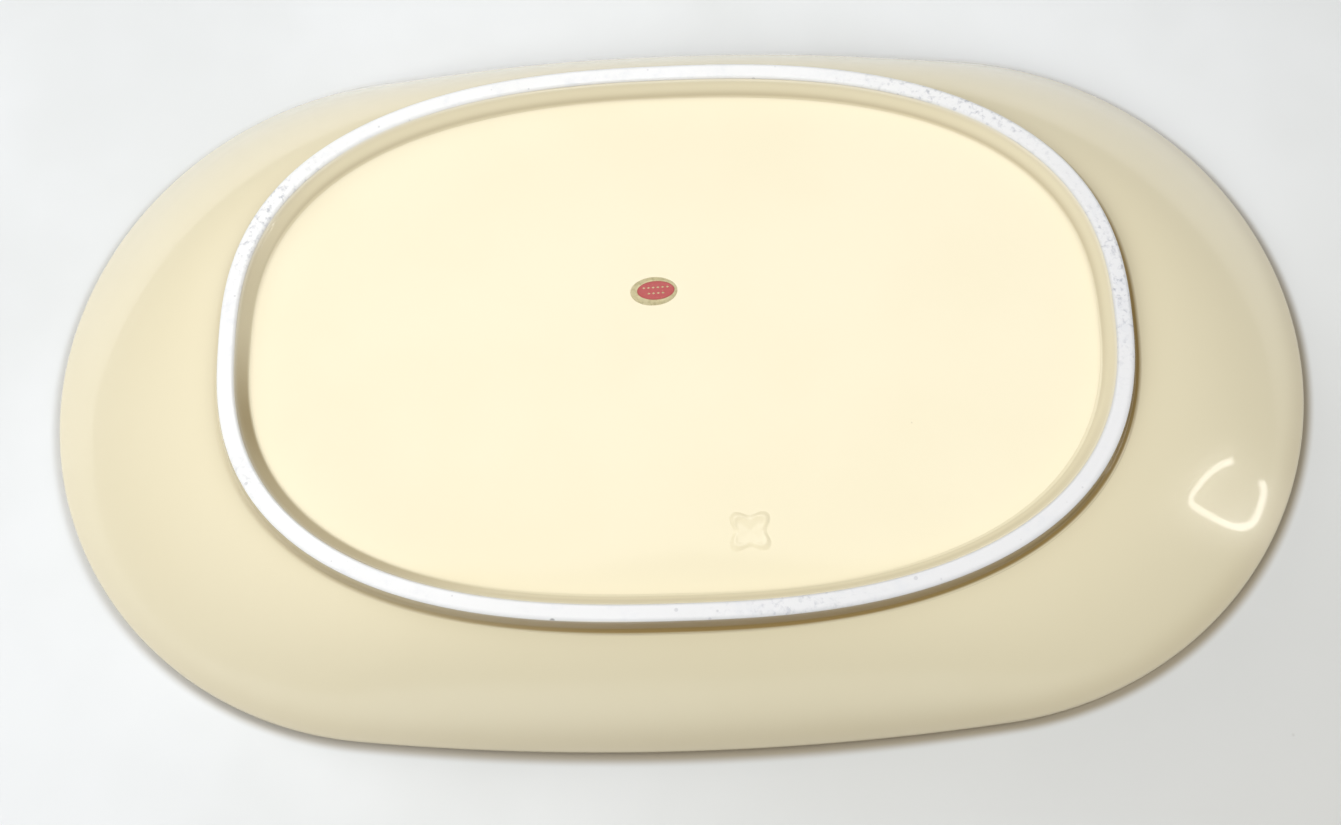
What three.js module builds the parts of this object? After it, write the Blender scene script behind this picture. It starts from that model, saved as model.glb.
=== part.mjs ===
// Shallow oval serving dish in cream-glazed porcelain, lying upside down on its rim.
// Millimetres, +Z up. +X runs along the dish and the origin is the middle of the plane
// that the rim rests on, so the foot and its bare bearing edge are at the top.
import * as THREE from "three";

// Rim: an oval of four arcs, two round ends joined by two long flat sides.
const RIM_LENGTH = 400;
const RIM_WIDTH = 240;
const RIM_END_RADIUS = 115;
const RIM_BAND = 8;
const RIM_BAND_EXTRA_TILT = 0.13;

// Body: one even wall that leaves the foot gently and steepens down to the rim band. The bow
// is how far its control point stands above the straight line across, as a share of the drop.
const TOTAL_HEIGHT = 46;
const WALL = 4.8;
const WALL_BOW = 0.2;
const WELL_FLOOR = 4.6;
const WELL_FILLET = 6;

// Foot: a raised ring on a rounded-rectangle outline, ground bare where it stands.
const FOOT_LENGTH = 277;
const FOOT_WIDTH = 183;
const FOOT_SQUARENESS = 2.5;
const FOOT_HEIGHT = 5.3;
const OUTER_FLANK = 1.8;
const INNER_FLANK = 4.1;
const INNER_SHOULDER = { run: 0.9, drop: 1.5 };
const FLANK_FILLET = 1.6;
const BEARING = { width: 5.2, depth: 0.8, rounding: 0.5 };

// Foil label with its printed field, and moulded mark, all on the floor inside the foot.
const LABEL = { x: -4.8, y: 14.7, turn: 0.04, length: 14.6, width: 9.6, thickness: 0.2 };
const PRINT = { x: 0.6, y: 0.2, length: 11.5, width: 6.2, thickness: 0.1 };
const MARK = { x: 22, y: -63.6, turn: 0.785, radius: 6.6, lobeDepth: 0.21, height: 0.6 };
const MARK_LOBES = 4;

const STEPS_AROUND = 96;
const STEPS_AROUND_TRIM = 48;
const WALL_STEPS = 8;

// Finishes
const CREAM_GLAZE = { color: 0xf3e8c8, roughness: 0.16, metalness: 0 };
const BARE_CLAY = { color: 0xf4f2ec, roughness: 0.9, metalness: 0 };
const GOLD_FOIL = { color: 0xb99a55, roughness: 0.4, metalness: 0.8 };
const RED_PRINT = { color: 0xa8403c, roughness: 0.45, metalness: 0 };

const recessFloor = TOTAL_HEIGHT - FOOT_HEIGHT;
const wellFloor = recessFloor - WELL_FLOOR;
const bearingBase = TOTAL_HEIGHT - BEARING.depth;
const lipRadius = WALL / 2;

// How far a rounded corner's halfway point lies from its sides, as a share of the radius.
const CORNER_CUT = 1 - Math.SQRT1_2;

// Distance from the centre to the rim outline along the ray at angle phi.
function rimRadius(phi) {
  const halfWidth = RIM_WIDTH / 2;
  const endCentre = RIM_LENGTH / 2 - RIM_END_RADIUS;
  const sideRadius =
    (endCentre ** 2 + halfWidth ** 2 - RIM_END_RADIUS ** 2) / (2 * (halfWidth - RIM_END_RADIUS));
  const sideCentre = sideRadius - halfWidth;
  const joinAngle = Math.atan2(sideCentre, endCentre);
  const joinX = endCentre + RIM_END_RADIUS * Math.cos(joinAngle);
  const joinY = RIM_END_RADIUS * Math.sin(joinAngle);
  const c = Math.abs(Math.cos(phi));
  const s = Math.abs(Math.sin(phi));
  if (s * joinX < c * joinY) {
    return endCentre * c + Math.sqrt(RIM_END_RADIUS ** 2 - (endCentre * s) ** 2);
  }
  return Math.sqrt(sideRadius ** 2 - (sideCentre * c) ** 2) - sideCentre * s;
}

// Distance from the centre to the foot's outline, grown outwards by a margin.
function footRadius(phi, margin = 0) {
  const x = Math.abs(Math.cos(phi)) / (FOOT_LENGTH / 2 + margin);
  const y = Math.abs(Math.sin(phi)) / (FOOT_WIDTH / 2 + margin);
  return (x ** FOOT_SQUARENESS + y ** FOOT_SQUARENESS) ** (-1 / FOOT_SQUARENESS);
}

// A point of a section: distance from the centre, height, and the outward direction there.
function faced(r, z, tilt) {
  return { r, z, outR: Math.sin(tilt), outZ: Math.cos(tilt) };
}

// Outer face of the wall at angle phi, from the foot's root down to the lip.
function outerWall(phi) {
  const root = footRadius(phi, OUTER_FLANK);
  const rim = rimRadius(phi);
  const bandTilt = Math.atan((recessFloor - lipRadius) / (rim - root)) + RIM_BAND_EXTRA_TILT;
  const bandEnd = faced(
    rim - lipRadius * (1 - Math.sin(bandTilt)),
    lipRadius * (1 + Math.cos(bandTilt)),
    bandTilt,
  );
  const crease = faced(
    bandEnd.r - RIM_BAND * Math.cos(bandTilt),
    bandEnd.z + RIM_BAND * Math.sin(bandTilt),
    bandTilt,
  );
  const run = crease.r - root;
  const drop = recessFloor - crease.z;
  const curve = new THREE.QuadraticBezierCurve(
    new THREE.Vector2(root, recessFloor),
    new THREE.Vector2(root + run / 2, recessFloor - drop * (0.5 - WALL_BOW)),
    new THREE.Vector2(crease.r, crease.z),
  );
  const curved = Array.from({ length: WALL_STEPS }, (_, i) => {
    const point = curve.getPoint(i / WALL_STEPS);
    const tangent = curve.getTangent(i / WALL_STEPS);
    return faced(point.x, point.y, Math.atan2(-tangent.y, tangent.x));
  });
  return [...curved, crease, bandEnd];
}

// Section of the shell at angle phi: recess floor, wall, round lip, food side, well floor.
function shellSection(phi) {
  const wall = outerWall(phi);
  const bandEnd = wall[wall.length - 1];
  const lipCentre = [bandEnd.r - lipRadius * bandEnd.outR, bandEnd.z - lipRadius * bandEnd.outZ];
  const down = -Math.PI / 2;
  const start = Math.atan2(bandEnd.outZ, bandEnd.outR);
  const end = start - Math.PI;
  const lip = [start / 2, 0, down / 3, (down * 2) / 3, down, (down + end) / 2].map((turn) => [
    lipCentre[0] + lipRadius * Math.cos(turn),
    lipCentre[1] + lipRadius * Math.sin(turn),
  ]);
  const foodSide = wall.slice(1).map((p) => [p.r - WALL * p.outR, p.z - WALL * p.outZ]);
  return [
    [0, recessFloor],
    ...wall.map((p) => [p.r, p.z]),
    ...lip,
    ...foodSide.reverse(),
    [footRadius(phi) - WELL_FILLET, wellFloor],
    [0, wellFloor],
  ];
}

// Section of the foot ring: seat for the bearing edge, outer flank with a fillet at its root,
// then the inner flank, which is steep at its shoulder and gentler down to its own fillet.
function footRingSection(phi) {
  const outline = (margin) => footRadius(phi, margin);
  const seat = -BEARING.width;
  const innerRoot = seat - INNER_FLANK;
  const filletMiddle = recessFloor + FLANK_FILLET * CORNER_CUT;
  return [
    [outline(seat), bearingBase],
    [outline(0), bearingBase],
    [outline(0), recessFloor + FLANK_FILLET],
    [outline(OUTER_FLANK * CORNER_CUT), filletMiddle],
    [outline(OUTER_FLANK), recessFloor],
    [outline(innerRoot), recessFloor],
    [outline(innerRoot + FLANK_FILLET / 2), filletMiddle],
    [outline(seat - INNER_SHOULDER.run), bearingBase - INNER_SHOULDER.drop],
  ];
}

// Section of the bare bearing edge: a flat annulus with both of its edges rounded.
function bearingSection(phi) {
  const outline = (margin) => footRadius(phi, margin);
  const { width, rounding } = BEARING;
  const shoulder = TOTAL_HEIGHT - rounding;
  const cut = rounding * CORNER_CUT;
  return [
    [outline(rounding - width), TOTAL_HEIGHT],
    [outline(-rounding), TOTAL_HEIGHT],
    [outline(-cut), TOTAL_HEIGHT - cut],
    [outline(0), shoulder],
    [outline(0), bearingBase],
    [outline(-width), bearingBase],
    [outline(-width), shoulder],
    [outline(cut - width), TOTAL_HEIGHT - cut],
  ];
}

// Section of a flat oval piece that stands on z = 0, with its top edge taken off.
function ovalSection(length, width, thickness) {
  const chamfer = thickness / 2;
  return (phi) => {
    const edge = Math.hypot(Math.cos(phi) / (length / 2), Math.sin(phi) / (width / 2)) ** -1;
    return [
      [0, thickness],
      [edge - chamfer, thickness],
      [edge, thickness - chamfer],
      [edge, 0],
      [0, 0],
    ];
  };
}

// Section of the moulded mark: a low lobed boss with a rounded edge.
function markSection(phi) {
  const edge = MARK.radius * (1 + MARK.lobeDepth * Math.cos(MARK_LOBES * phi));
  const cut = MARK.height * CORNER_CUT;
  return [
    [0, MARK.height],
    [edge - MARK.height, MARK.height],
    [edge - cut, MARK.height - cut],
    [edge, 0],
    [0, 0],
  ];
}

// Closed mesh from a section that changes with the angle around +Z. A section lists
// [distance, height] points with the material on its right. One that starts and ends on
// the axis closes in two poles, and any other closes on itself as a ring.
function sweepAround(sectionAt, steps, aspect) {
  const angles = Array.from({ length: steps }, (_, i) => {
    const turn = (2 * Math.PI * i) / steps;
    return Math.atan2(Math.sin(turn) * aspect, Math.cos(turn));
  });
  const sections = angles.map(sectionAt);
  const count = sections[0].length;
  const hasPoles = sections[0][0][0] === 0;
  const positions = [];
  const face = (...corners) => corners.forEach((corner) => positions.push(...corner));
  const corner = (step, point) => {
    const [r, z] = sections[step % steps][point % count];
    const angle = angles[step % steps];
    return [r * Math.cos(angle), r * Math.sin(angle), z];
  };
  for (let step = 0; step < steps; step++) {
    for (let point = 0; point < (hasPoles ? count - 1 : count); point++) {
      const here = corner(step, point);
      const next = corner(step, point + 1);
      const across = corner(step + 1, point + 1);
      const beside = corner(step + 1, point);
      if (!hasPoles || point < count - 2) face(here, next, across);
      if (!hasPoles || point > 0) face(here, across, beside);
    }
  }
  const geometry = new THREE.BufferGeometry();
  geometry.setAttribute("position", new THREE.Float32BufferAttribute(positions, 3));
  geometry.computeVertexNormals();
  return geometry;
}

function piece(name, geometry, finish) {
  const mesh = new THREE.Mesh(geometry, new THREE.MeshStandardMaterial(finish));
  mesh.name = name;
  return mesh;
}

const dish = new THREE.Group();

const bodyAspect = RIM_WIDTH / RIM_LENGTH;
const fired = (sectionAt) => sweepAround(sectionAt, STEPS_AROUND, bodyAspect);
dish.add(piece("dish_shell", fired(shellSection), CREAM_GLAZE));
dish.add(piece("foot_ring", fired(footRingSection), CREAM_GLAZE));
dish.add(piece("bearing_edge", fired(bearingSection), BARE_CLAY));

const mark = piece("moulded_mark", sweepAround(markSection, STEPS_AROUND_TRIM, 1), CREAM_GLAZE);
mark.position.set(MARK.x, MARK.y, recessFloor);
mark.rotation.z = MARK.turn;
dish.add(mark);

const label = new THREE.Group();
label.position.set(LABEL.x, LABEL.y, recessFloor);
label.rotation.z = LABEL.turn;
const labelAspect = LABEL.width / LABEL.length;
const printed = (size) => {
  const section = ovalSection(size.length, size.width, size.thickness);
  return sweepAround(section, STEPS_AROUND_TRIM, labelAspect);
};
label.add(piece("label_foil", printed(LABEL), GOLD_FOIL));
const print = piece("label_print", printed(PRINT), RED_PRINT);
print.position.set(PRINT.x, PRINT.y, LABEL.thickness);
label.add(print);
dish.add(label);

export default dish;
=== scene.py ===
"""Looks of a shallow oval porcelain dish that lies upside down on its rim: cream glaze, a bare
ground bearing edge, a moulded mark and a small foil label. Metres, in the frame of the CAD."""
import math

import bpy
import numpy as np
from mathutils import Matrix, Vector


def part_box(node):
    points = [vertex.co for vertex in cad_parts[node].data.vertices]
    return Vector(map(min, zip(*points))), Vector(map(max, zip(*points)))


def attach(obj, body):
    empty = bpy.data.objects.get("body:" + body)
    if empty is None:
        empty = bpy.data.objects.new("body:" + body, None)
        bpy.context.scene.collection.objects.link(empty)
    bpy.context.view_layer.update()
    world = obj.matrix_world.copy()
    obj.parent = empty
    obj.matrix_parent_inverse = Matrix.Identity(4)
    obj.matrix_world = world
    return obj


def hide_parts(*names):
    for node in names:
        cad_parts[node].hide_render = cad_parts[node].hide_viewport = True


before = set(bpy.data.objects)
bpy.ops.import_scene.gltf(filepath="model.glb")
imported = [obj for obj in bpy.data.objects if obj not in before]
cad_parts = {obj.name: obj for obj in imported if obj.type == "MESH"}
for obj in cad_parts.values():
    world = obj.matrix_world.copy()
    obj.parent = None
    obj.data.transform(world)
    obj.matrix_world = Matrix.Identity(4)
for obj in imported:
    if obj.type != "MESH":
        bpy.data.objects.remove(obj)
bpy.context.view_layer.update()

MM = 0.001
BODY = "root"

# Sizes read from the CAD nodes.
HALF_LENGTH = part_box("dish_shell")[1].x
HALF_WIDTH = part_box("dish_shell")[1].y
RECESS_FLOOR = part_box("dish_shell")[1].z
FOOT_HALF_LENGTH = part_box("bearing_edge")[1].x
FOOT_HALF_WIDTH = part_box("bearing_edge")[1].y
BEARING_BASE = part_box("bearing_edge")[0].z
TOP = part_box("bearing_edge")[1].z
OUTER_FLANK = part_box("foot_ring")[1].x - FOOT_HALF_LENGTH

# Sizes that repeat the CAD's driving dimensions.
RIM_END_RADIUS = 115 * MM
RIM_BAND = 8 * MM
RIM_BAND_EXTRA_TILT = 0.13
WALL = 4.8 * MM
WALL_BOW = 0.2
WELL_FLOOR = 4.6 * MM
WELL_FILLET = 6 * MM
FOOT_SQUARENESS = 2.5
INNER_FLANK = 4.1 * MM
BEARING_WIDTH = 5.2 * MM
LABEL_TURN = 0.04

LIP = WALL / 2
WELL = RECESS_FLOOR - WELL_FLOOR
ASPECT = HALF_WIDTH / HALF_LENGTH

# How finely a section is swept around, and how its wall is divided.
STEPS_AROUND = 720
WALL_POINTS = 44
BAND_POINTS = 9
CREASE_POINTS = (38, 50)
FIRST_FOOD_POINT = 5

# How far a piece is sunk into the one that it stands on, so that no gap shows.
RING_SINK = 0.4 * MM
BEARING_SINK = 0.7 * MM
MARK_SINK = 0.5 * MM
PRINT_SINK = 0.1 * MM
ORNAMENT_SINK = 0.04 * MM
ORNAMENT_LOWERED = 0.005 * MM

# Unevenness of the hand work and the firing.
FOOT_WANDER = 0.38 * MM
KILN_RIPPLE = 0.07 * MM
RIPPLE_FREE_HEIGHT = 5 * MM
RIPPLE_FADE = 12 * MM
GLAZE_LINE_WANDER = 0.2 * MM
GLAZE_LINE_RISE = 0.05 * MM
WEAR_WANDER = 0.35 * MM
OUTER_WEAR = 1.5 * MM
INNER_WEAR = 1.1 * MM


# ---------------------------------------------------------------- outlines

def rim_radius(phi):
    """Distance from the centre to the rim's four-arc oval along the rays at phi."""
    end_centre = HALF_LENGTH - RIM_END_RADIUS
    side_radius = (end_centre ** 2 + HALF_WIDTH ** 2 - RIM_END_RADIUS ** 2) / (
        2 * (HALF_WIDTH - RIM_END_RADIUS))
    side_centre = side_radius - HALF_WIDTH
    join = math.atan2(side_centre, end_centre)
    join_x = end_centre + RIM_END_RADIUS * math.cos(join)
    join_y = RIM_END_RADIUS * math.sin(join)
    c, s = np.abs(np.cos(phi)), np.abs(np.sin(phi))
    end = end_centre * c + np.sqrt(np.maximum(RIM_END_RADIUS ** 2 - (end_centre * s) ** 2, 0))
    side = np.sqrt(side_radius ** 2 - (side_centre * c) ** 2) - side_centre * s
    return np.where(s * join_x < c * join_y, end, side)


def foot_wander(phi):
    """A slow wander of the hand-trimmed foot about its drawn outline."""
    turn = np.arctan2(np.sin(phi) / ASPECT, np.cos(phi))
    wave = np.cos(turn) + 0.45 * np.sin(3 * turn + 2.2) + 0.25 * np.sin(5 * turn + 0.9)
    return FOOT_WANDER * (wave - 0.2)


def foot_radius(phi, margin=0.0):
    """Distance from the centre to the foot's rounded outline, grown outwards by a margin."""
    margin = margin + foot_wander(phi)
    x = np.abs(np.cos(phi)) / (FOOT_HALF_LENGTH + margin)
    y = np.abs(np.sin(phi)) / (FOOT_HALF_WIDTH + margin)
    return (x ** FOOT_SQUARENESS + y ** FOOT_SQUARENESS) ** (-1 / FOOT_SQUARENESS)


def hand_line(phi, amount):
    """A slow wander of a hand-finished line around the foot."""
    return amount * (0.5 * np.sin(3 * phi + 0.4) + 0.3 * np.sin(7 * phi + 1.9)
                     + 0.2 * np.sin(17 * phi + 0.7))


def kiln_ripple(x, y):
    """Slow waviness of the fired clay, a tenth of a millimetre or so."""
    return KILN_RIPPLE * (np.sin(41 * x + 13 * y + 0.6) + 0.8 * np.sin(29 * y - 17 * x + 2.1)
                          + 0.5 * np.sin(73 * x + 61 * y + 4.0))


def oval_radius(phi, half_length, half_width):
    return 1 / np.hypot(np.cos(phi) / half_length, np.sin(phi) / half_width)


def smooth(t):
    """Goes from 0 to 1 with soft ends as t does, and is held there."""
    t = np.clip(t, 0, 1)
    return t * t * (3 - 2 * t)


# ---------------------------------------------------------------- mesh making

def sweep(name, section, steps=STEPS_AROUND, aspect=ASPECT):
    """A closed mesh from a section that changes with the angle around +Z. section(phi) lists
    (distance, height) pairs of arrays with the material on their right. A section that starts
    and ends on the axis closes in two poles; any other closes on itself as a ring."""
    turn = np.linspace(0, 2 * np.pi, steps, endpoint=False)
    phi = np.arctan2(np.sin(turn) * aspect, np.cos(turn))
    pairs = [np.broadcast_arrays(r, z, phi)[:2] for r, z in section(phi)]
    r = np.array([pair[0] for pair in pairs])
    z = np.array([pair[1] for pair in pairs])
    has_poles = float(np.abs(r[0]).max()) == 0
    if has_poles:
        r, z = r[1:], z[1:]
        top_z, bottom_z = pairs[0][1][0], z[-1][0]
        r, z = r[:-1], z[:-1]
    rings = len(r)
    verts = np.stack([r * np.cos(phi), r * np.sin(phi), z], -1).reshape(-1, 3)
    ring = np.arange(rings)[:, None] * steps
    step = np.arange(steps)[None, :]
    ahead = (step + 1) % steps
    here, beside = ring + step, ring + ahead
    if has_poles:
        inner_here, inner_beside = here[:-1], beside[:-1]
        outer_here, outer_beside = here[1:], beside[1:]
    else:
        inner_here, inner_beside = here, beside
        outer_here, outer_beside = np.roll(here, -1, 0), np.roll(beside, -1, 0)
    quads = np.stack([inner_here, outer_here, outer_beside, inner_beside], -1).reshape(-1, 4)
    faces = quads.tolist()
    verts = verts.tolist()
    if has_poles:
        top, bottom = len(verts), len(verts) + 1
        verts += [[0, 0, float(top_z)], [0, 0, float(bottom_z)]]
        last = (rings - 1) * steps
        for i in range(steps):
            j = (i + 1) % steps
            faces.append([top, i, j])
            faces.append([bottom, last + j, last + i])
    mesh = bpy.data.meshes.new(name)
    mesh.from_pydata(verts, [], faces)
    mesh.shade_smooth()
    obj = bpy.data.objects.new(name, mesh)
    bpy.context.scene.collection.objects.link(obj)
    return obj


def set_attribute(obj, name, function):
    """Stores function(x, y, z) of the vertices as a float attribute for the materials."""
    co = np.empty(len(obj.data.vertices) * 3)
    obj.data.vertices.foreach_get("co", co)
    x, y, z = co.reshape(-1, 3).T
    layer = obj.data.attributes.new(name, "FLOAT", "POINT")
    layer.data.foreach_set("value", function(x, y, z).astype(np.float32))


def dress(obj, material, nodes):
    """Gives a piece its material, parents it to the body's empty and hides the CAD nodes that it
    stands for.
    """
    obj.data.materials.append(material)
    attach(obj, BODY)
    if nodes:
        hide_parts(*nodes)


# ---------------------------------------------------------------- sections

def outer_wall(phi):
    """Points of the wall's outer face from the foot's root to the lip, with their tilts."""
    root = foot_radius(phi, OUTER_FLANK)
    rim = rim_radius(phi)
    band_tilt = np.arctan((RECESS_FLOOR - LIP) / (rim - root)) + RIM_BAND_EXTRA_TILT
    end_r = rim - LIP * (1 - np.sin(band_tilt))
    end_z = LIP * (1 + np.cos(band_tilt))
    crease_r = end_r - RIM_BAND * np.cos(band_tilt)
    crease_z = end_z + RIM_BAND * np.sin(band_tilt)
    run, drop = crease_r - root, RECESS_FLOOR - crease_z
    points = []
    for t in np.linspace(0, 1, WALL_POINTS):
        r = root + run * t
        z = RECESS_FLOOR - drop * (t - 2 * WALL_BOW * t * (1 - t))
        points.append([r, z, np.arctan(drop * (1 - 2 * WALL_BOW * (1 - 2 * t)) / run)])
    for t in np.linspace(0.12, 1, BAND_POINTS):
        points.append([crease_r + (end_r - crease_r) * t, crease_z + (end_z - crease_z) * t,
                       band_tilt])
    return soften(points, *CREASE_POINTS)


def soften(points, first, last, rounds=6):
    """Eases the bend between two stretches of a section by averaging neighbours."""
    table = np.array(points)
    for _ in range(rounds):
        eased = (table[first - 1:last - 1] + 2 * table[first:last] + table[first + 1:last + 1]) / 4
        table[first:last] = eased
    return [tuple(row) for row in table]


def flow(points, per_span=4):
    """A smooth run of points through the given ones."""
    padded = [points[0]] + points + [points[-1]]
    made = []
    for p0, p1, p2, p3 in zip(padded, padded[1:], padded[2:], padded[3:]):
        for t in np.arange(per_span) / per_span:
            made.append(tuple(0.5 * (2 * b + (c - a) * t + (2 * a - 5 * b + 4 * c - d) * t * t
                                     + (3 * b - a - 3 * c + d) * t ** 3)
                              for a, b, c, d in zip(p0, p1, p2, p3)))
    return made + [points[-1]]


def rippled(phi, r, z):
    """The same point with the kiln's waviness, which fades out at the rim."""
    fade = np.clip((z - RIPPLE_FREE_HEIGHT) / RIPPLE_FADE, 0, 1)
    return r, z + fade * kiln_ripple(r * np.cos(phi), r * np.sin(phi))


def shell_section(phi):
    """Recess floor, wall, round lip, food side of the wall and well floor."""
    wall = outer_wall(phi)
    root = foot_radius(phi, OUTER_FLANK)
    end_r, end_z, tilt = wall[-1]
    lip_r, lip_z = end_r - LIP * np.sin(tilt), end_z - LIP * np.cos(tilt)
    start = np.pi / 2 - tilt
    inner_root = foot_radius(phi, -BEARING_WIDTH - INNER_FLANK)
    points = [(0 * phi, RECESS_FLOOR + 0 * phi)]
    points += [(inner_root * t, RECESS_FLOOR + 0 * phi) for t in np.linspace(0.02, 0.96, 36)]
    points += [(inner_root - gap * MM, RECESS_FLOOR + 0 * phi) for gap in np.arange(3, -1, -0.3)]
    points.append((root - 2 * MM, RECESS_FLOOR + 0 * phi))
    points += [(r, z) for r, z, _ in wall]
    for t in np.linspace(0, 1, 19)[1:-1]:
        turn = start * (1 - t) + (start - np.pi) * t
        points.append((lip_r + LIP * np.cos(turn), lip_z + LIP * np.sin(turn)))
    food = [(r - WALL * np.sin(a), z - WALL * np.cos(a)) for r, z, a in wall[FIRST_FOOD_POINT:]]
    points += food[::-1]
    corner_r, corner_z = food[0]
    flat_r = foot_radius(phi) - WELL_FILLET
    for t in np.linspace(0, 1, 11)[1:]:
        bend = corner_r - WELL_FILLET * 0.35
        r = (1 - t) ** 2 * corner_r + 2 * t * (1 - t) * bend + t * t * flat_r
        z = (1 - t) ** 2 * corner_z + 2 * t * (1 - t) * (WELL - 0.1 * MM) + t * t * WELL
        points.append((r, z))
    points += [(flat_r * t, WELL + 0 * phi) for t in np.linspace(0.96, 0.03, 24)]
    points.append((0 * phi, WELL + 0 * phi))
    return points[:1] + [rippled(phi, r, z) for r, z in points[1:-1]] + points[-1:]


def ring_section(phi):
    """Foot ring: seat, glaze bead, outer flank with its fillet, then the inner flank, steep at
    its shoulder and straight down to a tight fillet."""
    low, floor = RECESS_FLOOR - RING_SINK, RECESS_FLOOR
    outer_line = BEARING_BASE + GLAZE_LINE_RISE + hand_line(phi, GLAZE_LINE_WANDER)
    inner_line = BEARING_BASE + GLAZE_LINE_RISE + hand_line(phi + 2, GLAZE_LINE_WANDER)

    def outer(margin, z):
        return foot_radius(phi, margin * MM), z + 0 * phi

    def inner(margin, z):
        return foot_radius(phi, -BEARING_WIDTH - margin * MM), z + 0 * phi

    seat = [inner(-0.5, inner_line - 0.25 * MM), outer(-0.5, outer_line - 0.25 * MM)]
    outer_flank = flow([
        outer(-0.35, outer_line - 0.12 * MM), outer(-0.12, outer_line),
        outer(0.0, outer_line - 0.2 * MM), outer(0.05, outer_line - 0.8 * MM),
        outer(0.35, floor + 2.4 * MM), outer(0.75, floor + 0.9 * MM),
        outer(1.15, floor + 0.28 * MM), outer(1.8, floor + 0.01 * MM), outer(2.4, low)])
    inner_flank = flow([
        inner(4.8, low), inner(4.15, floor + 0.01 * MM), inner(3.6, floor + 0.2 * MM),
        inner(3.15, floor + 0.62 * MM), inner(2.1, floor + 1.75 * MM),
        inner(1.05, floor + 2.95 * MM), inner(0.5, floor + 3.75 * MM),
        inner(0.06, inner_line - 0.35 * MM), inner(-0.1, inner_line - 0.02 * MM),
        inner(-0.35, inner_line - 0.1 * MM)])
    return seat + outer_flank + inner_flank


def bearing_section(phi):
    """Bare bearing edge: ground flat on top, with worn shoulders down to the glaze line."""
    middle = -BEARING_WIDTH / 2
    half = BEARING_WIDTH / 2 - 0.04 * MM
    outer_wear = OUTER_WEAR + hand_line(phi + 1, WEAR_WANDER)
    inner_wear = INNER_WEAR + hand_line(phi + 4, WEAR_WANDER)
    base = BEARING_BASE - BEARING_SINK
    drop = 0.9 * (TOP - BEARING_BASE)

    def shoulder(side, wear):
        return [(foot_radius(phi, middle + side * (half - wear * (1 - t))),
                 TOP - drop * t ** 2.6 + 0 * phi) for t in np.linspace(0, 1, 12)]

    outer, inner = shoulder(1, outer_wear), shoulder(-1, inner_wear)
    top = [(inner[0][0] + (outer[0][0] - inner[0][0]) * t, TOP + 0 * phi)
           for t in np.linspace(0, 1, 9)[1:-1]]
    feet = [(foot_radius(phi, middle + side * half), base + 0 * phi) for side in (1, -1)]
    return top + outer + feet + inner[::-1]


def mark_section(size, height):
    """Moulded mark: a low star with four corners and hollow sides, highest near its corners."""
    def section(phi):
        corner = 0.5 - 0.5 * np.cos(4 * phi)
        edge = 0.82 * size * (1 + 0.5 * corner ** 1.2)
        skirt = 1.12
        points = []
        for t in np.linspace(0, skirt, 48):
            body = 0.5 * smooth((skirt - t) / 0.45)
            peak = 0.5 * corner * np.exp(-((t - 0.78) / 0.15) ** 2)
            dip = 0.16 * np.exp(-(t / 0.4) ** 2)
            points.append((edge * t, height * (body + peak * smooth(t * 4) - dip) - 0.02 * MM))
        points.append((edge * skirt, -MARK_SINK + 0 * phi))
        points.append((0 * phi, -MARK_SINK + 0 * phi))
        return points
    return section


def foil_section(half_length, half_width, thickness):
    """Foil label: fine teeth around its edge and a raised bead just inside them."""
    def section(phi):
        teeth, tooth_depth = 64, 0.018
        turn = np.arctan2(np.sin(phi) * half_length, np.cos(phi) * half_width)
        inside = oval_radius(phi, half_length, half_width)
        edge = inside * (1 - tooth_depth * (0.5 + 0.5 * np.cos(teeth * turn)))
        face = 0.7 * thickness
        points = [(0 * phi, face + 0 * phi)]
        for t in (0.25, 0.5, 0.7, 0.76, 0.79):
            points.append((inside * t, face + 0 * phi))
        for t in np.linspace(0, 1, 9):
            bead = 0.3 * thickness * np.sin(t * np.pi)
            points.append((inside * (0.81 + 0.1 * t), face + bead + 0 * phi))
        points.append((inside * 0.93, 0.66 * thickness + 0 * phi))
        points.append((edge * 0.985, 0.6 * thickness + 0 * phi))
        points.append((edge, 0.45 * thickness + 0 * phi))
        points.append((edge, 0 * phi))
        points.append((0 * phi, 0 * phi))
        return points
    return section


def print_section(half_length, half_width, thickness):
    """Printed field: a thin, slightly cushioned oval with a soft edge."""
    def section(phi):
        edge = oval_radius(phi, half_length, half_width)
        points = [(0 * phi, thickness + 0 * phi)]
        for t in np.linspace(0.15, 1, 14):
            points.append((edge * t, thickness * (1 - 0.35 * smooth((t - 0.8) * 5)) + 0 * phi))
        points.append((edge, -PRINT_SINK + 0 * phi))
        points.append((0 * phi, -PRINT_SINK + 0 * phi))
        return points
    return section


def lozenge_section(half_long, half_short, thickness):
    """Small cushioned lozenge."""
    def section(phi):
        edge = 1 / (np.abs(np.cos(phi)) / half_long + np.abs(np.sin(phi)) / half_short)
        points = [(0 * phi, thickness + 0 * phi)]
        points += [(edge * t, thickness * (1 - 0.5 * t ** 4) + 0 * phi) for t in (0.5, 0.8, 0.95)]
        points += [(edge, 0 * phi), (edge, -ORNAMENT_SINK + 0 * phi)]
        points.append((0 * phi, -ORNAMENT_SINK + 0 * phi))
        return points
    return section


# ---------------------------------------------------------------- materials

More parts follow.
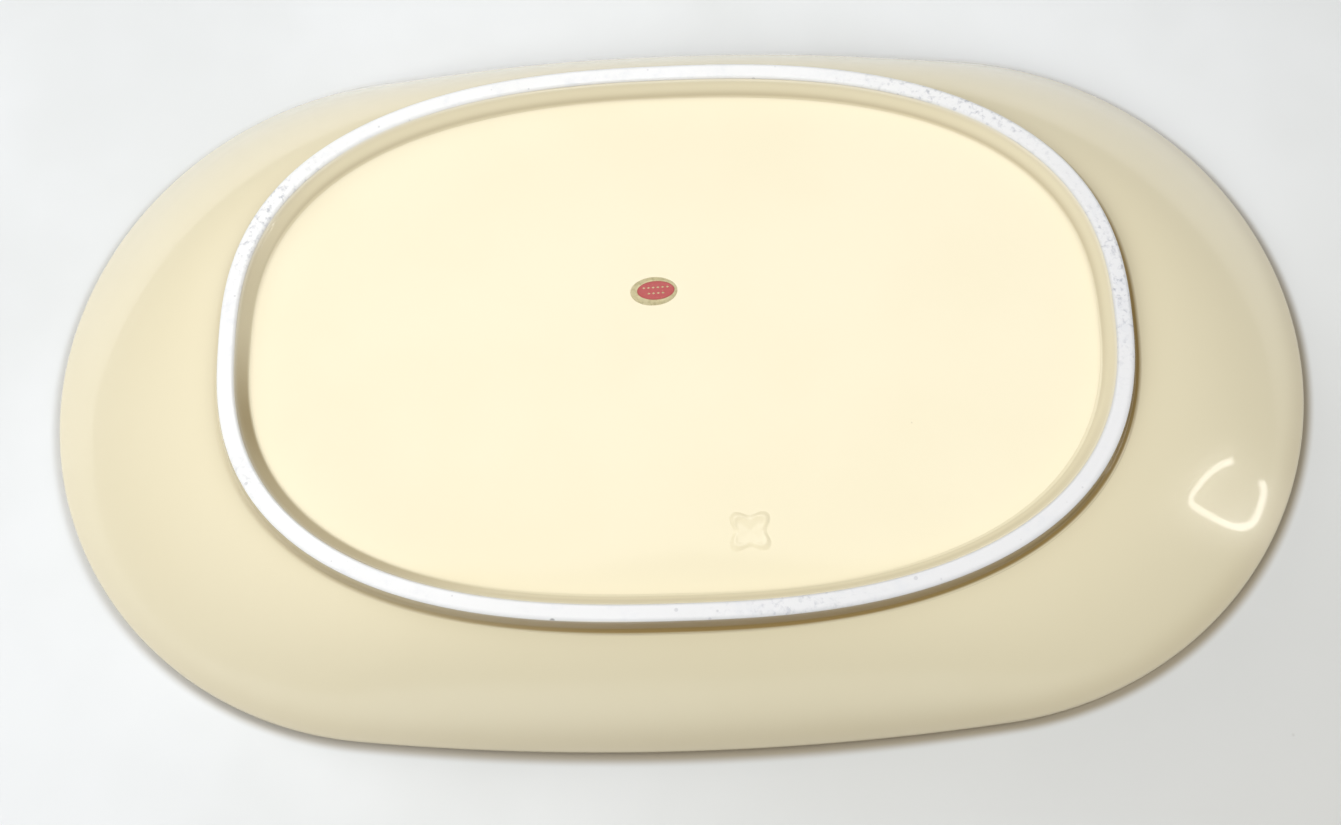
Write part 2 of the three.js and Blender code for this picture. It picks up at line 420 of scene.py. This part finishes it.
class Shader:
    """A Principled material with short calls for the nodes that feed it."""

    def __init__(self, name, **constants):
        self.material = bpy.data.materials.new(name)
        self.material.use_nodes = True
        self.tree = self.material.node_tree
        self.surface = self.tree.nodes["Principled BSDF"]
        self.place = self.node("ShaderNodeTexCoord").outputs["Object"]
        for key, value in constants.items():
            self.surface.inputs[key.replace("_", " ")].default_value = value

    def node(self, kind, **inputs):
        made = self.tree.nodes.new(kind)
        for key, value in inputs.items():
            self.feed(made.inputs[key.replace("_", " ")], value)
        return made

    def feed(self, socket, value):
        if isinstance(value, bpy.types.NodeSocket):
            self.tree.links.new(value, socket)
        else:
            socket.default_value = value

    def noise(self, scale, detail=3.0, rough=0.5, distortion=0.0):
        return self.node("ShaderNodeTexNoise", Vector=self.place, Scale=scale,
                         Detail=detail, Roughness=rough, Distortion=distortion).outputs["Fac"]

    def math(self, operation, a, b):
        made = self.tree.nodes.new("ShaderNodeMath")
        made.operation = operation
        self.feed(made.inputs[0], a)
        self.feed(made.inputs[1], b)
        return made.outputs[0]

    def span(self, value, low, high, to_low=0.0, to_high=1.0):
        """value taken from low..high to to_low..to_high with soft ends, and held there."""
        made = self.tree.nodes.new("ShaderNodeMapRange")
        made.interpolation_type = "SMOOTHSTEP"
        for index, item in enumerate((value, low, high, to_low, to_high)):
            self.feed(made.inputs[index], item)
        return made.outputs[0]

    def blend(self, factor, a, b):
        made = self.tree.nodes.new("ShaderNodeMix")
        made.data_type = "RGBA"
        self.feed(made.inputs[0], factor)
        self.feed(made.inputs[6], a)
        self.feed(made.inputs[7], b)
        return made.outputs[2]

    def attribute(self, name):
        made = self.tree.nodes.new("ShaderNodeAttribute")
        made.attribute_name = name
        return made.outputs["Fac"]

    def bump(self, height, distance, strength=1.0, under=None):
        made = self.node("ShaderNodeBump", Height=height, Distance=distance, Strength=strength)
        if under is not None:
            self.feed(made.inputs["Normal"], under)
        return made.outputs["Normal"]

    def specks(self, scale, share, size):
        """Round specks, one in some of the cells of a grid of the given scale."""
        cell = self.node("ShaderNodeTexVoronoi", Vector=self.place, Scale=scale)
        chosen = self.node("ShaderNodeSeparateColor", Color=cell.outputs["Color"])
        wanted = self.math("GREATER_THAN", chosen.outputs[0], 1 - share)
        reach = self.math("MULTIPLY", chosen.outputs[1], size)
        near = self.math("SUBTRACT", reach, cell.outputs["Distance"])
        return self.math("MULTIPLY", wanted, self.span(near, 0.0, size * 0.35))

    def finish(self, colour, roughness, normal):
        self.feed(self.surface.inputs["Base Color"], colour)
        self.feed(self.surface.inputs["Roughness"], roughness)
        self.feed(self.surface.inputs["Normal"], normal)
        return self.material


def rgb(red, green, blue):
    """Linear colour from 0-255 display values."""
    def linear(v):
        v = v / 255
        return v / 12.92 if v <= 0.04045 else ((v + 0.055) / 1.055) ** 2.4
    return (linear(red), linear(green), linear(blue), 1.0)


CREAM, CREAM_WARMER, CREAM_CLOUD = rgb(237, 227, 196), rgb(236, 226, 194), rgb(232, 220, 184)
# The darker glaze colour on the next line paints shade, with some pooled glaze.
GLAZE_SHADE_AND_POOL, GLAZE_THIN = rgb(142, 118, 68), rgb(246, 244, 238)
IRON_SPECK = rgb(150, 124, 84)
# The third colour on the next line paints shade on the bare edge at the near right.
CLAY, CLAY_PALER, CLAY_SHADED = rgb(238, 238, 236), rgb(244, 244, 244), rgb(220, 220, 221)
CLAY_FAINT_MARK, CLAY_WORN_MARK = rgb(196, 202, 212), rgb(150, 153, 164)
CLAY_DUST, CLAY_SPOT = rgb(176, 176, 180), rgb(120, 118, 118)
FOIL_GOLD, FOIL_PALER, FOIL_WORN = rgb(206, 194, 148), rgb(218, 208, 170), rgb(178, 166, 122)
PRINT_RED, PRINT_DEEPER, PRINT_RUBBED = rgb(188, 96, 94), rgb(176, 80, 82), rgb(206, 140, 126)
# The third colour on the next line paints the light's falloff on the cloth, greyer to the far
# right.
CLOTH, CLOTH_CLOUD, CLOTH_SHADED_FAR_RIGHT = rgb(228, 230, 231), rgb(221, 223, 223), rgb(203, 203, 199)
CLOTH_SPECK, CLOTH_SHADE = rgb(176, 174, 168), rgb(146, 132, 104)


def glaze_material():
    """Glossy cream glaze: painted shade with some pooled glaze, and thin places, from the mesh,
    iron specks, faint waviness.
    """
    s = Shader("cream_glaze", Coat_Weight=0.6, Coat_Roughness=0.05, Coat_IOR=1.5, IOR=1.5)
    broad = s.span(s.noise(6, 2.0), 0.3, 0.7)
    cloud = s.span(s.noise(24, 3.0), 0.3, 0.8)
    grain = s.noise(900, 2.0)
    tone = s.blend(broad, CREAM, CREAM_WARMER)
    tone = s.blend(s.math("MULTIPLY", cloud, 0.15), tone, CREAM_CLOUD)
    # Painted shade, with some pooled glaze, darkens the glaze where the mesh attribute says.
    tone = s.blend(s.attribute("painted_shade_pool"), tone, GLAZE_SHADE_AND_POOL)
    tone = s.blend(s.attribute("thin"), tone, GLAZE_THIN)
    iron = s.specks(42, 0.05, 0.035)
    tone = s.blend(s.math("MULTIPLY", iron, 0.55), tone, IRON_SPECK)
    uneven = s.math("ADD", cloud, s.math("MULTIPLY", grain, 0.5))
    roughness = s.span(uneven, 0.2, 1.2, 0.22, 0.27)
    waves = s.bump(s.noise(22, 1.0), 0.0002, 0.5)
    peel = s.bump(s.noise(320, 2.0), 0.000008, 0.3, under=waves)
    pits = s.bump(s.math("MULTIPLY", iron, -1.0), 0.0001, 0.4, under=peel)
    return s.finish(tone, roughness, pits)


def clay_material():
    """Ground, unglazed white body with grey marks where it has rubbed, dust and kiln spots, and
    painted shade that greys it towards the near right.
    """
    s = Shader("bare_clay", IOR=1.5)
    worn = s.attribute("worn")
    smudge = s.span(s.noise(520, 3.0, 0.6, 0.3), 0.48, 0.8)
    faint = s.span(s.noise(120, 4.0, 0.65), 0.5, 0.75)
    dust = s.specks(420, 0.16, 0.32)
    spots = s.specks(170, 0.07, 0.26)
    tone = s.blend(s.noise(35, 3.0), CLAY, CLAY_PALER)
    # Painted shade: the bare edge is greyer towards the near right.
    tone = s.blend(s.attribute("painted_shade_near_right"), tone, CLAY_SHADED)
    tone = s.blend(s.math("MULTIPLY", faint, 0.22), tone, CLAY_FAINT_MARK)
    rubbed = s.math("MULTIPLY", s.math("MULTIPLY", smudge, worn), 0.9)
    tone = s.blend(rubbed, tone, CLAY_WORN_MARK)
    tone = s.blend(s.math("MULTIPLY", dust, 0.4), tone, CLAY_DUST)
    tone = s.blend(s.math("MULTIPLY", spots, 0.7), tone, CLAY_SPOT)
    roughness = s.span(s.noise(260, 3.0), 0.3, 0.7, 0.72, 0.95)
    coarse = s.bump(s.noise(700, 3.0, 0.6), 0.00008, 0.5)
    fine = s.bump(s.noise(3200, 2.0), 0.00002, 0.6, under=coarse)
    return s.finish(tone, roughness, fine)


def foil_material():
    """Dull gold foil on paper, worn in small patches."""
    s = Shader("gold_foil", Metallic=0.3, IOR=1.5)
    patches = s.span(s.noise(900, 4.0, 0.6), 0.45, 0.7)
    tone = s.blend(s.noise(300, 2.0), FOIL_GOLD, FOIL_PALER)
    tone = s.blend(s.math("MULTIPLY", patches, 0.6), tone, FOIL_WORN)
    roughness = s.span(s.noise(1500, 2.0), 0.3, 0.7, 0.35, 0.55)
    return s.finish(tone, roughness, s.bump(s.noise(2500, 2.0), 0.00003, 0.7))


def print_material():
    """Satin red print with rubbed spots."""
    s = Shader("red_print", IOR=1.5)
    tone = s.blend(s.noise(450, 3.0), PRINT_RED, PRINT_DEEPER)
    tone = s.blend(s.span(s.noise(2200, 2.0), 0.6, 0.75, 0.0, 0.4), tone, PRINT_RUBBED)
    roughness = s.span(s.noise(800, 2.0), 0.3, 0.7, 0.38, 0.55)
    return s.finish(tone, roughness, s.bump(s.noise(3000, 2.0), 0.00002, 0.5))


def floor_material():
    """Matt white cloth with painted shade, a little greyer to the right where the light falls off,
    with specks and the contact shade.
    """
    s = Shader("pale_floor", Roughness=0.9, Specular_IOR_Level=0.1)
    side = s.node("ShaderNodeSeparateXYZ", Vector=s.place)
    across = s.math("SUBTRACT", side.outputs["X"], s.math("MULTIPLY", side.outputs["Y"], 1.2))
    tone = s.blend(s.span(s.noise(5, 4.0, 0.6), 0.4, 0.65), CLOTH, CLOTH_CLOUD)
    # Painted shade: the light falls off towards the far right.
    tone = s.blend(s.span(across, -0.1, 0.5), tone, CLOTH_SHADED_FAR_RIGHT)
    tone = s.blend(s.math("MULTIPLY", s.specks(60, 0.12, 0.07), 0.45), tone, CLOTH_SPECK)
    tone = s.blend(s.math("MULTIPLY", s.attribute("shade"), 0.8), tone, CLOTH_SHADE)
    s.feed(s.surface.inputs["Base Color"], tone)
    return s.material


# ---------------------------------------------------------------- where painted shade, glaze and wear lie

def ring_distance(x, y, margin):
    """How far a point lies from the foot's outline grown by a margin, along its ray."""
    phi = np.arctan2(y, x)
    return np.abs(np.hypot(x, y) - foot_radius(phi, margin))


def around(x, y):
    """Angle around the dish in degrees, measured as if the dish were round."""
    return np.degrees(np.arctan2(y / ASPECT, x))


def facing(turn, middle, width):
    """1 at the middle angle, falling off smoothly to 0 at width degrees on both sides."""
    apart = np.abs((turn - middle + 180) % 360 - 180)
    return smooth(1.5 - 1.5 * apart / width)


def painted_shade_and_pooling(x, y, z):
    """Darker glaze colour, mostly painted shade and in part pooled glaze: in the corners where the
    foot stands on the dish, and towards the rim. The painted shade is strongest on the outside at
    the near right, and on the inside along the far half and the left."""
    turn = around(x, y)
    height = np.maximum(z - RECESS_FLOOR, 0)
    near_right = facing(turn, -45, 125)
    beyond = np.hypot(x, y) - foot_radius(np.arctan2(y, x))
    crisp = smooth((beyond + 0.4 * MM) / (0.4 * MM)) * smooth((2.7 * MM - beyond) / (0.9 * MM))
    # Painted shadow of the foot ring on its outer flank and the flange, strongest at the near
    # right.
    outer = (0.12 + 0.85 * near_right) * crisp
    outer = np.maximum(outer, 0.22 * near_right * np.exp(-np.abs(beyond) / (4 * MM)))
    outer *= beyond > -1 * MM
    # Pooled glaze in the tight fillet at the foot's inner root, with painted shade added along the
    # far half.
    root_gap = ring_distance(x, y, -BEARING_WIDTH - INNER_FLANK * 0.86)
    root = (0.07 + 0.27 * facing(turn, 85, 125)) * np.exp(-(root_gap / (1.1 * MM)) ** 2)
    # Painted shade: a dark line beside the bare edge along the near side.
    ledge_gap = ring_distance(x, y, -BEARING_WIDTH - 1.6 * MM)
    ledge = 0.2 * facing(turn, -75, 75) * np.exp(-(ledge_gap / (1.1 * MM)) ** 2)
    # Painted shade on the inner flank at the left.
    inside = beyond < -BEARING_WIDTH - 0.1 * MM
    left = 0.2 * facing(turn, 178, 45) + 0.5 * facing(turn, -146, 42)
    flank = left * smooth(height / (0.8 * MM)) * inside
    # Painted shade towards the rim, strongest at the near right.
    rim_gap = rim_radius(np.arctan2(y, x)) - np.hypot(x, y)
    rim = 0.32 * facing(turn, -35, 150) * np.exp(-(rim_gap / (6 * MM)) ** 2)
    return np.clip(np.max([outer, root, ledge, flank, rim], axis=0), 0, 1)


def thinning(x, y, z):
    """Thinner, whiter glaze over the round lip and just short of the bare edge."""
    rim = np.hypot(x, y) / rim_radius(np.arctan2(y, x))
    lip = 0.1 * np.clip((rim - 0.965) / 0.03, 0, 1) * np.clip(1 - z / (8 * MM), 0, 1)
    return lip + 0.8 * np.exp(-np.maximum(BEARING_BASE - z, 0) / (0.45 * MM))


def wear(x, y, z):
    """Where the bare edge has picked up grey marks."""
    turn = around(x, y)
    zones = [(8, 17, 1.0), (53, 12, 0.9), (151, 13, 1.0), (-77, 7, 0.6), (-150, 5, 0.4)]
    return sum(much * np.exp(-((turn - at) / width) ** 2) for at, width, much in zones)


# ---------------------------------------------------------------- pieces

GLAZE = glaze_material()


def make_glazed(name, section, nodes):
    piece = sweep(name, section)
    # This attribute carries the glaze's painted shade and pooled glaze.
    set_attribute(piece, "painted_shade_pool", painted_shade_and_pooling)
    set_attribute(piece, "thin", thinning)
    dress(piece, GLAZE, nodes)


def place(piece, node, turn=0.0, height=None):
    """Moves a piece that was made around the origin to the middle of its CAD node, at the
    node's foot unless another height is given."""
    low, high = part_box(node)
    z = low.z if height is None else height
    centre = Vector(((low.x + high.x) / 2, (low.y + high.y) / 2, z))
    piece.data.transform(Matrix.Translation(centre) @ Matrix.Rotation(turn, 4, "Z"))


def half_size(node, turn=0.0):
    """Half the length and width of an oval CAD node, undoing the growth from its turn."""
    low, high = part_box(node)
    x2, y2 = ((high.x - low.x) / 2) ** 2, ((high.y - low.y) / 2) ** 2
    c2, s2 = math.cos(turn) ** 2, math.sin(turn) ** 2
    length2, width2 = (x2 * c2 - y2 * s2) / (c2 - s2), (y2 * c2 - x2 * s2) / (c2 - s2)
    return math.sqrt(length2), math.sqrt(width2)


def make_label_layer(name, node, section, steps, material):
    """An oval layer of the label, from a section made for its half sizes and thickness."""
    low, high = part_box(node)
    half_length, half_width = half_size(node, LABEL_TURN)
    piece = sweep(name, section(half_length, half_width, high.z - low.z), steps,
                  half_width / half_length)
    place(piece, node, LABEL_TURN)
    dress(piece, material, [node])


make_glazed("dish_shell_glazed", shell_section, ["dish_shell"])
make_glazed("foot_ring_glazed", ring_section, ["foot_ring"])
bearing = sweep("bearing_edge_bare", bearing_section)
set_attribute(bearing, "worn", wear)
# Painted shade on the bare edge, strongest at the near right.
set_attribute(bearing, "painted_shade_near_right", lambda x, y, z: 0.7 * facing(around(x, y), -25, 120))
dress(bearing, clay_material(), ["bearing_edge"])

mark_low, mark_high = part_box("moulded_mark")
mark_size = (mark_high.x - mark_low.x) / 2
mark = sweep("moulded_mark_glazed", mark_section(mark_size, mark_high.z - mark_low.z), 128, 1.0)
place(mark, "moulded_mark")
set_attribute(mark, "painted_shade_pool", lambda x, y, z: 0 * x)
set_attribute(mark, "thin", lambda x, y, z: 0 * x)
dress(mark, GLAZE, ["moulded_mark"])

FOIL = foil_material()
make_label_layer("label_foil_embossed", "label_foil", foil_section, 512, FOIL)
make_label_layer("label_print_field", "label_print", print_section, 160, print_material())



def make_ornament():
    """Two rows of small gold lozenges printed on the red field."""
    rows = [(0.95 * MM, 6), (-1.0 * MM, 4)]
    pitch, half_long, half_short, thickness = 1.45 * MM, 0.5 * MM, 0.32 * MM, 0.04 * MM
    made = []
    for y, count in rows:
        for i in range(count):
            bit = sweep("bit", lozenge_section(half_long, half_short, thickness), 16, 0.6)
            bit.data.transform(Matrix.Translation(((i - (count - 1) / 2) * pitch, y, 0)))
            made.append(bit)
    with bpy.context.temp_override(active_object=made[0], selected_editable_objects=made,
                                   object=made[0], selected_objects=made):
        bpy.ops.object.join()
    ornament = made[0]
    ornament.name = "label_ornament"
    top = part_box("label_print")[1].z
    place(ornament, "label_print", LABEL_TURN, top - ORNAMENT_LOWERED)
    dress(ornament, FOIL, [])


make_ornament()


# ---------------------------------------------------------------- floor, light, camera

def make_floor():
    """A flat cloth, finer around the dish, where the contact shade is soft."""
    count = 360
    below_dish = 0.02 * MM
    turn = np.linspace(0, 2 * np.pi, count, endpoint=False)
    phi = np.arctan2(np.sin(turn) * ASPECT, np.cos(turn))
    fine_gaps = list(np.arange(-4, 6.1, 0.4))
    gaps = [-60, -30, -15, -8, -5] + fine_gaps + [8, 12, 20, 40, 90, 200, 450, 1000, 2200]
    verts, shade = [(0, 0, 0)], [0.0]
    for gap in gaps:
        r = rim_radius(phi) + gap * MM
        x, y = r * np.cos(phi), r * np.sin(phi)
        verts += [(a, b, 0) for a, b in zip(x, y)]
        deep = 0.25 + 0.75 * facing(around(x, y), -45, 120)
        shade += list(deep * smooth((4.4 - gap) / 3.4))
    faces = [(0, 1 + i, 1 + (i + 1) % count) for i in range(count)]
    for ring in range(len(gaps) - 1):
        low, high = 1 + ring * count, 1 + (ring + 1) * count
        faces += [(low + i, high + i, high + (i + 1) % count, low + (i + 1) % count)
                  for i in range(count)]
    mesh = bpy.data.meshes.new("floor")
    mesh.from_pydata(verts, [], faces)
    mesh.transform(Matrix.Translation((0, 0, -below_dish)))
    layer = mesh.attributes.new("shade", "FLOAT", "POINT")
    layer.data.foreach_set("value", np.array(shade, dtype=np.float32))
    floor = bpy.data.objects.new("floor", mesh)
    bpy.context.scene.collection.objects.link(floor)
    floor.data.materials.append(floor_material())


def area_light(name, spot, size, power, target=(0, 0, 0), glossy=False):
    """A disc lamp aimed at the target, which doesn't show in the glaze unless it is glossy."""
    data = bpy.data.lights.new(name, "AREA")
    data.shape = "DISK"
    data.size = size
    data.energy = power
    lamp = bpy.data.objects.new(name, data)
    bpy.context.scene.collection.objects.link(lamp)
    lamp.location = spot
    aim = Vector(target) - Vector(spot)
    lamp.rotation_mode = "QUATERNION"
    lamp.rotation_quaternion = aim.to_track_quat("-Z", "Y")
    lamp.visible_glossy = glossy
    return lamp


def panel_light(name, spot, size, power):
    """A level rectangular panel that also shows in the glaze of the level faces."""
    lamp = area_light(name, spot, size[0], power, (spot[0], spot[1], 0), True)
    lamp.data.shape = "RECTANGLE"
    lamp.data.size_y = size[1]


def glow(name, points, radius, strength):
    """A staged lamp seen only as a reflection: a bright tube along the given points."""
    sides = 10
    upright = 0.9
    path = np.array(points)
    along = np.gradient(path, axis=0)
    along /= np.linalg.norm(along, axis=1)[:, None]
    helper = (0.0, 0.0, 1.0) if abs(along[:, 2]).max() < upright else (1.0, 0.0, 0.0)
    aside = np.cross(along, helper)
    aside /= np.linalg.norm(aside, axis=1)[:, None]
    other = np.cross(along, aside)
    turn = np.linspace(0, 2 * np.pi, sides, endpoint=False)
    verts = (path[:, None] + radius * (np.cos(turn)[None, :, None] * aside[:, None]
                                       + np.sin(turn)[None, :, None] * other[:, None]))
    faces = [[i * sides + j, (i + 1) * sides + j, (i + 1) * sides + (j + 1) % sides,
              i * sides + (j + 1) % sides] for i in range(len(path) - 1) for j in range(sides)]
    faces += [list(range(sides)), list(range((len(path) - 1) * sides, len(path) * sides))[::-1]]
    mesh = bpy.data.meshes.new(name)
    mesh.from_pydata(verts.reshape(-1, 3).tolist(), [], faces)
    lamp = bpy.data.objects.new(name, mesh)
    bpy.context.scene.collection.objects.link(lamp)
    s = Shader(name, Roughness=0.5, Emission_Strength=strength)
    s.surface.inputs["Base Color"].default_value = (0, 0, 0, 1)
    s.surface.inputs["Emission Color"].default_value = (1.0, 0.98, 0.93, 1)
    lamp.data.materials.append(s.material)
    lamp.visible_camera = lamp.visible_diffuse = lamp.visible_shadow = False


def make_ring_lamp():
    """A bent ring lamp with a gap, beyond the dish's right end."""
    beyond, radius, strength = 1.0, 0.012, 9.0
    bends = [(-0.018, 0.165), (-0.035, 0.2), (-0.06, 0.235), (-0.095, 0.265), (-0.14, 0.292),
             (-0.18, 0.3), (-0.205, 0.28), (-0.218, 0.215), (-0.224, 0.14), (-0.218, 0.07),
             (-0.19, 0.025), (-0.155, 0.012), (-0.12, 0.012), (-0.08, 0.014), (-0.05, 0.03)]
    path = flow([(beyond, y, z) for y, z in bends])
    glow("ring_lamp", path, radius, strength)


def make_world(strength, backdrop):
    """Almost no light from the world, with a pale backdrop where it shows past the floor."""
    world = bpy.data.worlds.new("studio")
    world.use_nodes = True
    tree = world.node_tree
    back = tree.nodes["Background"]
    back.inputs["Color"].default_value = (0.97, 0.98, 1.0, 1.0)
    seen = tree.nodes.new("ShaderNodeLightPath").outputs["Is Camera Ray"]
    level = tree.nodes.new("ShaderNodeMapRange")
    level.inputs["To Min"].default_value = strength
    level.inputs["To Max"].default_value = backdrop
    tree.links.new(seen, level.inputs["Value"])
    tree.links.new(level.outputs["Result"], back.inputs["Strength"])
    bpy.context.scene.world = world


def make_camera():
    """The viewing angle: from above the near long side, turned a little to the right."""
    elevation, yaw, roll = (math.radians(a) for a in (68.598, 4.599, -6.253))
    target = Vector((-1.752, -10.506, 2.4)) * MM
    distance, lens, sensor_width, clip_start = 641.39 * MM, 53.69, 36, 0.01
    back = Vector((math.sin(yaw) * math.cos(elevation), -math.cos(yaw) * math.cos(elevation),
                   math.sin(elevation)))
    level = Vector((math.cos(yaw), math.sin(yaw), 0))
    up = back.cross(level)
    right = math.cos(roll) * level + math.sin(roll) * up
    up = back.cross(right)
    data = bpy.data.cameras.new("camera")
    data.sensor_width = sensor_width
    data.lens = lens
    data.clip_start = clip_start
    camera = bpy.data.objects.new("camera", data)
    bpy.context.scene.collection.objects.link(camera)
    axes = Matrix((right, up, back)).transposed().to_4x4()
    camera.matrix_world = Matrix.Translation(target + back * distance) @ axes
    bpy.context.scene.camera = camera


# Each disc lamp's name, place, size in metres and power in watts.
DISC_LAMPS = [
    ("key", (-0.6, -0.6, 1.0), 0.6, 7.9),
    ("far_left", (-0.75, 0.6, 0.6), 0.5, 3.8),
    ("high_left", (-0.55, 0.1, 0.95), 0.5, 1.3),
    ("right_fill", (0.75, 0.0, 1.0), 0.6, 6.8),
    ("near_fill", (0.3, -0.8, 0.9), 0.6, 1.65),
]

make_floor()
make_world(strength=0.02, backdrop=0.75)
for lamp_name, lamp_spot, lamp_size, lamp_power in DISC_LAMPS:
    area_light(lamp_name, lamp_spot, lamp_size, lamp_power)
panel_light("ceiling_panel", (-0.05, 0.62, 1.3), (0.95, 0.62), 3.3)
make_ring_lamp()
make_camera()

scene = bpy.context.scene
scene.view_settings.view_transform = "Standard"
scene.view_settings.look = "None"
scene.render.film_transparent = False
